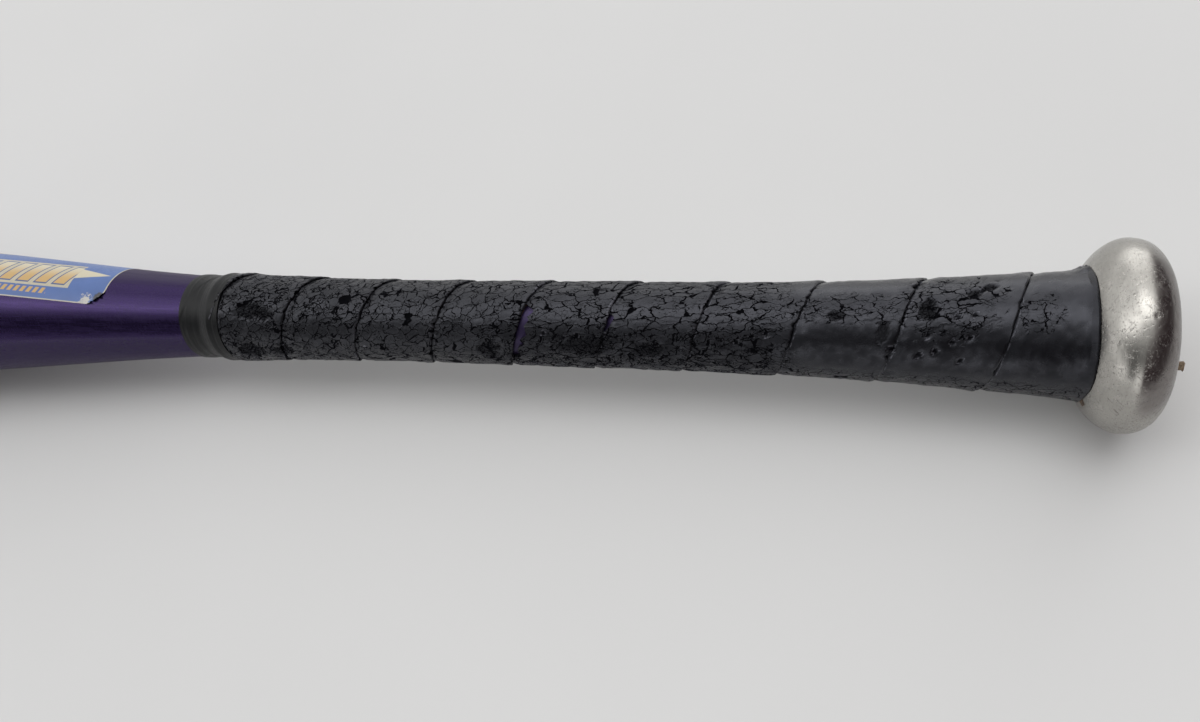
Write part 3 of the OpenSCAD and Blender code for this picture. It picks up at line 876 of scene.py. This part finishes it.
def collar_bmesh():
    """The finishing tape: stretched over the grip's end, with ridges of its layers and a slanted cut end."""
    start, end = span("finishing_tape")
    xs, rs = outer_profile("finishing_tape")
    thickness = 0.32
    across = np.linspace(start, end, 62)
    radius = np.interp(across, xs, rs)
    # The tape's stretch rounds off every step in what lies under it
    reach = 3
    kernel = np.ones(2 * reach + 1) / (2 * reach + 1)
    radius = np.convolve(np.pad(radius, reach, mode="edge"), kernel, "valid")
    ridges = ((284.8, 0.07, 0.4), (282.9, -0.05, 0.6), (276.4, 0.07, 0.5), (274.6, -0.06, 0.6))
    for place, tall, wide in ridges:
        radius = radius + tall * np.exp(-(((across - place) / wide) ** 2))
    outer = list(zip(across, radius))
    inner = [(x, r - thickness) for x, r in reversed(outer)]
    bm = turned(outer + inner, 160)
    for vert in bm.verts:
        x = vert.co.x / MM
        angle = math.degrees(math.atan2(vert.co.y, vert.co.z))
        cut_line = -14 - (282.6 - x) * 11
        behind = float(smoothstep(0, 5, cut_line - angle)) * float(1 - smoothstep(60, 150, cut_line - angle))
        place = Vector((x * 0.3, vert.co.y / MM * 0.12, vert.co.z / MM * 0.12))
        rise = 0.14 * behind + 0.06 * noise.noise(place)
        factor = 1 + rise / math.hypot(vert.co.y / MM, vert.co.z / MM)
        vert.co.y *= factor
        vert.co.z *= factor
    return bm


def knob_bmesh():
    """Doughnut knob on its neck, recessed for the plug, with dings and pits along its edge."""
    neck_end = span("knob")[1]
    recess, recess_depth = KNOB_R - 12.3, 6.0
    handle_bore = 11.12
    chamfer, flat_r = 0.7, 14.3
    # The widest ring of the doughnut, and the x where it runs out into the neck
    mid, shoulder = 9.0, 18.5
    keep = knob_xs >= shoulder - 0.01
    neck = smooth_curve(knob_xs[keep], knob_rs[keep])
    neck_r = float(neck(shoulder))
    end_round = round_quarter(mid, -mid, flat_r, KNOB_R - flat_r, 2.25, 40)[::-1]
    front_round = round_quarter(mid, shoulder - mid, neck_r, KNOB_R - neck_r, 1.64, 44)
    neck_x = np.linspace(shoulder, neck_end, 30)[1:]
    points = [(chamfer, recess), (0.0, recess + chamfer)] + end_round + front_round[1:]
    points += list(zip(neck_x, neck(neck_x)))
    points += [(neck_end, handle_bore), (recess_depth, handle_bore), (recess_depth, recess)]
    bm = turned(points, 256)
    for vert in bm.verts:
        p = vert.co / MM
        r = math.hypot(p.y, p.z)
        if r < recess + 1.2 or p.x > shoulder - 0.5:
            continue
        ding = max(0.0, noise.noise(p * 0.75 + Vector((4, 8, 2))) - 0.5) * 0.5
        angle = math.degrees(math.atan2(p.y, p.z))
        rough_side = math.exp(-(((angle - 105) / 32) ** 2)) * math.exp(-(((p.x - 5) / 4) ** 2))
        chew = max(0.0, noise.noise(p * 0.9)) * 0.25 * rough_side
        soft = 0.05 * noise.noise(p * 0.12)
        vert.co += vert.normal * (soft - ding - chew) * MM
    return bm


def plug_bmesh():
    """Cork plug with crumbled edges and the torn sliver that stands out of it."""
    sliver_end, stem_end = span("knob_plug")
    head, stem, head_len = 12.6, 8.6, 3.4
    points = [(0.0, r) for r in np.linspace(0.0, head - 0.4, 16)]
    points += [(0.12, head - 0.1), (0.5, head), (head_len, head)]
    points += [(head_len, stem), (stem_end, stem), (stem_end, 0.0)]
    bm = turned(points, 96, closed=False)
    for vert in bm.verts:
        p = vert.co / MM
        if p.x < 0.6:
            vert.co.x += 0.35 * max(0.0, noise.noise(p * 0.7)) * MM
    # The sliver starts as a flat sheet, and is bent along a spine of (x, radius) points
    spine = [(1.2, 12.0), (0.55, 12.3), (0.1, 12.9), (-0.6, 13.1), (-1.2, 13.5), (-1.8, 13.9)]
    spine.append((sliver_end + 0.5, 14.4))
    steps = len(spine) - 1
    sheet = bmesh.ops.create_grid(bm, x_segments=steps, y_segments=3, size=0.5)["verts"]
    faces = {f for v in sheet for f in v.link_faces}
    middle = math.radians(57)
    for vert in sheet:
        step = round((vert.co.x + 0.5) * steps)
        side = vert.co.y * 2.4 * (1 - 0.03 * step) + 0.2 * math.sin(step * 2.1)
        x, r = spine[step]
        y = r * math.sin(middle) + side * math.cos(middle)
        z = r * math.cos(middle) - side * math.sin(middle)
        vert.co = (x * MM, y * MM, z * MM)
    bmesh.ops.solidify(bm, geom=list(faces), thickness=0.9 * MM)
    bmesh.ops.recalc_face_normals(bm, faces=bm.faces)
    return bm


def cap_bmesh(wall):
    """Moulded end cap: domed flange with a groove round its face, a waist in the lip and a hollow skirt."""
    low, high = span("end_cap")
    waist = BARREL_R - ROLL_R - 0.05
    flange, face = waist + 1.75, 20.0
    drop = (high - BARREL_END) * 0.6
    half_groove = ((0.0, 1.1), (0.35, 0.8), (0.8, 0.5))
    groove_r = 14.0
    groove = [(high - deep, groove_r - wide) for deep, wide in half_groove]
    groove += [(high - deep, groove_r + wide) for deep, wide in reversed(half_groove)]
    dome = [
        (high - drop * (1 - math.cos(a)), face + (flange - face) * math.sin(a))
        for a in np.radians(np.linspace(0, 90, 13))
    ]
    skirt = BARREL_R - wall - 0.55
    inside = BARREL_END - 2.4
    edge = [(BARREL_END + 0.4, flange), (BARREL_END + 0.1, flange - 0.3)]
    points = [(high, 0.0), (high, 4.0), (high - 0.25, 4.3), (high, 4.6)] + groove + dome + edge
    points += [(BARREL_END + 0.1, waist), (inside, waist), (low + 16, skirt), (low, skirt)]
    points += [(low, skirt - 4), (low + 14, skirt - 4), (inside - 2, skirt - 8), (inside - 2, 0.0)]
    return turned(points, 128, closed=False)


# ---------------------------------------------------------------- operators

class BAT_OT_shell(bpy.types.Operator):
    """Builds the painted one-piece shell"""
    bl_idname = "bat.shell"
    bl_label = "Painted shell"

    def execute(self, context):
        settings = context.scene.bat_shell
        bm = shell_bmesh(settings.wall / MM)
        to_piece("painted_shell", bm, painted_metal(settings), ["bat_tube"], 25)
        return {"FINISHED"}


class BAT_OT_knob(bpy.types.Operator):
    """Builds the bare aluminium knob"""
    bl_idname = "bat.knob"
    bl_label = "Knob"

    def execute(self, context):
        settings = context.scene.bat_shell
        to_piece("aluminium_knob", knob_bmesh(), bare_metal(settings), ["knob"])
        return {"FINISHED"}


class BAT_OT_grip(bpy.types.Operator):
    """Winds the leather strip and opens its cracks"""
    bl_idname = "bat.grip"
    bl_label = "Grip strip"

    def execute(self, context):
        settings = context.scene.bat_grip
        bm = faced_out(wind_grip(settings))
        piece = to_piece("wound_grip", bm, cracked_leather(settings), ["grip_strip"], 50)
        crack_relief(piece, 0.18)
        return {"FINISHED"}


class BAT_OT_tapes(bpy.types.Operator):
    """Winds the adhesive tape and stretches the finishing tape over the grip's end"""
    bl_idname = "bat.tapes"
    bl_label = "Tapes"

    def execute(self, context):
        g = context.scene.bat_grip
        start, end = span("grip_tape")
        width, shift = g.pitch / MM - 3.6, 0.5
        across = (0.0, 0.03, 0.06, 0.09, 0.12, 0.33, 0.67, 1.0)
        sections = [(s, 1.0) for s in across] + [(s, 0.0) for s in reversed(across)]
        turns_from = (start - width - g.first_edge / MM + 1.0) / (g.pitch / MM)
        turns_to = (end - g.first_edge / MM - 1.0) / (g.pitch / MM)
        mesh = swept_band(sections, turns_from, turns_to, 96)
        s, t, turn = read_layer(mesh, "across"), read_layer(mesh, "lift"), read_layer(mesh, "turn")
        edge = (g.first_edge + g.pitch * turn) / MM + shift
        # A dirty tab of it sticks out past the strip, on to the knob
        strip = span("grip_strip")[0]
        tab = hump(wrap_angle(360 * turn), 98, 108, 3)
        reach = np.minimum(start, start + (strip - 1.0 - start) * tab)
        low, high = np.maximum(edge, reach), np.minimum(edge + width, end)
        x = low + (high - low) * s
        radius = core_radius(x) - 0.01
        climb = smoothstep(0.5, 0.1, x - strip) * tab
        radius = np.maximum(radius, (knob_radius(np.minimum(x, 30)) + 0.32) * climb)
        write_points(mesh, from_polar(x, 360 * turn, radius - 0.13 * (1 - t)))
        to_piece("adhesive_tape", faced_out(mesh), amber_tape(g), ["grip_tape"])
        to_piece("finishing_tape_collar", collar_bmesh(), vinyl(g), ["finishing_tape"])
        return {"FINISHED"}


class BAT_OT_label(bpy.types.Operator):
    """Lays the printed label round the taper"""
    bl_idname = "bat.label"
    bl_label = "Label"

    def execute(self, context):
        g = context.scene.bat_label
        piece = to_piece("taper_label", label_bmesh(g), printed_label(g), ["taper_decal"])
        mesh = piece.data
        along, across = read_layer(mesh, "along"), read_layer(mesh, "across")
        set_attribute(mesh, "print", np.stack([along, across, 0 * along], 1))
        return {"FINISHED"}


class BAT_OT_ends(bpy.types.Operator):
    """Builds the cork plug and the end cap, and finishes the pieces that they hide"""
    bl_idname = "bat.ends"
    bl_label = "Plug and cap"

    def execute(self, context):
        g = context.scene.bat_ends
        cork = plain("crumbled_cork", g.cork, 0.75, 1.4, 0.25, contrast=0.55)
        rubber = plain("moulded_rubber", g.rubber, 0.5, 3.0, 0.05)
        to_piece("cork_plug", plug_bmesh(), cork, ["knob_plug"])
        cap = cap_bmesh(context.scene.bat_shell.wall / MM)
        to_piece("moulded_cap", cap, rubber, ["end_cap"])
        hidden = {
            "knob_weld": plain("weld_metal", (0.5, 0.49, 0.47), 0.4, 2.0, 0.1, 1.0),
            "handle_damper": plain("damper_foam", (0.05, 0.05, 0.055), 0.9, 4.0, 0.2),
            "cap_sealant": plain("cured_sealant", (0.55, 0.52, 0.44), 0.4, 1.0, 0.1),
            "cap_foam": plain("cut_foam", (0.62, 0.58, 0.46), 0.9, 4.0, 0.2),
        }
        for node, material in hidden.items():
            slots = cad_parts[node].data.materials
            slots.clear()
            slots.append(material)
        return {"FINISHED"}


class BAT_OT_stage(bpy.types.Operator):
    """Sets the floor, the soft light and the camera"""
    bl_idname = "bat.stage"
    bl_label = "Stage"

    def execute(self, context):
        g = context.scene.bat_stage
        make_floor(g)
        make_lights(context.scene)
        make_camera(context.scene, g)
        return {"FINISHED"}


def make_floor(g):
    """A pale floor that touches the barrel and the knob."""
    barrel_x, knob_x = 560.0, 9.0
    tilt = math.asin((BARREL_R - KNOB_R) / (barrel_x - knob_x))
    bm = bmesh.new()
    bmesh.ops.create_grid(bm, x_segments=8, y_segments=8, size=3.0)
    turn = Matrix.Rotation(tilt, 4, "Y")
    lower = Vector((knob_x, 0, -KNOB_R)) * MM
    bmesh.ops.transform(bm, matrix=Matrix.Translation(lower) @ turn, verts=bm.verts)
    bmesh.ops.recalc_face_normals(bm, faces=bm.faces)
    if sum(f.normal.z for f in bm.faces) < 0:
        bmesh.ops.reverse_faces(bm, faces=bm.faces)
    material, n, shader, place = new_material("pale_floor")
    cloud = n.noise(place, 0.004, 3.0)
    base = n.mix(n.ramp(cloud, 0.3, 0.7), g.floor, shade(g.floor, 0.97))
    connect(n, shader, Base_Color=base, Roughness=0.6)
    mesh = bpy.data.meshes.new("floor")
    bm.to_mesh(mesh)
    bm.free()
    mesh.materials.append(material)
    floor = bpy.data.objects.new("floor", mesh)
    bpy.context.scene.collection.objects.link(floor)


def light_profile(n, angle, stops):
    """Brightness round the bat's axis, eased through stops of (angle, brightness)."""
    low, high = -90, 90
    share = n.math("DIVIDE", n.minus(angle, low), high - low)
    ramp = n.put("ShaderNodeValToRGB", {0: share})
    ramp.color_ramp.interpolation = "EASE"
    for at, level in stops:
        element = ramp.color_ramp.elements.new((at - low) / (high - low))
        element.color = (level, level, level, 1)
    ramp.color_ramp.elements[0].color = ramp.color_ramp.elements[1].color
    ramp.color_ramp.elements[-1].color = ramp.color_ramp.elements[-2].color
    return ramp.outputs[0]


def make_lights(scene):
    """A room of soft light: a pale ceiling, a long lamp, bright low walls, and dark furniture."""
    world = bpy.data.worlds.new("room")
    scene.world = world
    world.use_nodes = True
    tree = world.node_tree
    n = Nodes(tree)
    axes = n.axes(n.put("ShaderNodeTexCoord").outputs["Generated"])
    along, angle = axes[0], n.around(axes)
    light = light_profile(n, angle, [
        (-82, 0.85), (-68, 0.75), (-58, 0.62), (-45, 0.50), (-36, 0.48), (-28, 0.60), (-18, 0.95), (-9, 1.30),
        (0, 1.25), (7, 0.80), (15, 0.32), (28, 0.26), (40, 0.12), (52, 0.06), (66, 0.20), (80, 0.70),
    ])
    far_side = n.ramp(along, 0.30, 0.45)
    beam = n.times(n.ramp(angle, -36, -26), n.ramp(angle, 7, 0))
    light = n.times(light, n.flip(n.times(beam, far_side, 0.45)))
    lamp = n.times(n.ramp(angle, 4, 8), n.ramp(angle, 26, 18), far_side)
    light = n.plus(light, n.times(lamp, 0.65))
    cupboard = n.times(far_side, n.ramp(along, 0.74, 0.64), n.ramp(angle, 32, 44), n.ramp(angle, 90, 84))
    shelf = n.times(far_side, n.ramp(angle, -48, -60))
    light = n.times(light, n.flip(n.largest(n.times(cupboard, 0.92), n.times(shelf, 0.5))))
    # A dark curtain past the knob, and an even wall past the barrel
    drawn = n.minus(along, n.ramp(angle, 20, 60, 0.0, 0.42))
    light = n.mix(n.ramp(drawn, -0.34, -0.52), light, (0.030, 0.022, 0.024))
    light = n.mix(n.ramp(along, 0.85, 0.95), light, (0.4, 0.4, 0.4))
    background = tree.nodes["Background"]
    tree.links.new(light, background.inputs["Color"])
    background.inputs["Strength"].default_value = 2.45


def make_camera(scene, g):
    """A camera close over the grip, looking down at it and along it towards the knob's far side."""
    stand = Vector((0.0712, 0.1209, 0.22844))
    look = Vector((0.2823, -0.4127, -0.8660)).normalized()
    up = Vector((0.0323, -0.8982, 0.4385))
    right = look.cross(up).normalized()
    up = right.cross(look)
    data = bpy.data.cameras.new("camera")
    data.sensor_width = 36.0
    data.lens = g.lens
    data.clip_start = 0.01
    camera = bpy.data.objects.new("camera", data)
    scene.collection.objects.link(camera)
    turn = Matrix((right, up, -look)).transposed().to_4x4()
    camera.matrix_world = Matrix.Translation(stand) @ turn
    scene.camera = camera
    scene.view_settings.view_transform = "Standard"


class BAT_PT_panel(bpy.types.Panel):
    """Lists the bat's pieces and sizes"""
    bl_label = "Baseball bat"
    bl_idname = "BAT_PT_panel"
    bl_space_type = "VIEW_3D"
    bl_region_type = "UI"
    bl_category = "Bat"

    def draw(self, context):
        for operator, group in STEPS:
            box = self.layout.box()
            box.operator(operator.bl_idname)
            settings = getattr(context.scene, group)
            for key in settings.bl_rna.properties.keys():
                if key not in ("rna_type", "name"):
                    box.prop(settings, key)


GROUPS = {
    "bat_shell": BatShellSettings,
    "bat_grip": BatGripSettings,
    "bat_label": BatLabelSettings,
    "bat_ends": BatEndSettings,
    "bat_stage": BatStageSettings,
}
STEPS = [
    (BAT_OT_shell, "bat_shell"),
    (BAT_OT_knob, "bat_shell"),
    (BAT_OT_grip, "bat_grip"),
    (BAT_OT_tapes, "bat_grip"),
    (BAT_OT_label, "bat_label"),
    (BAT_OT_ends, "bat_ends"),
    (BAT_OT_stage, "bat_stage"),
]


def register():
    for group in GROUPS.values():
        bpy.utils.register_class(group)
    for name, group in GROUPS.items():
        setattr(bpy.types.Scene, name, bpy.props.PointerProperty(type=group))
    for operator, _ in STEPS:
        bpy.utils.register_class(operator)
    bpy.utils.register_class(BAT_PT_panel)


def unregister():
    bpy.utils.unregister_class(BAT_PT_panel)
    for operator, _ in reversed(STEPS):
        bpy.utils.unregister_class(operator)
    for name, group in reversed(GROUPS.items()):
        delattr(bpy.types.Scene, name)
        bpy.utils.unregister_class(group)


def main():
    register()
    for operator, _ in STEPS:
        category, name = operator.bl_idname.split(".")
        getattr(getattr(bpy.ops, category), name)()


if __name__ == "__main__":
    main()
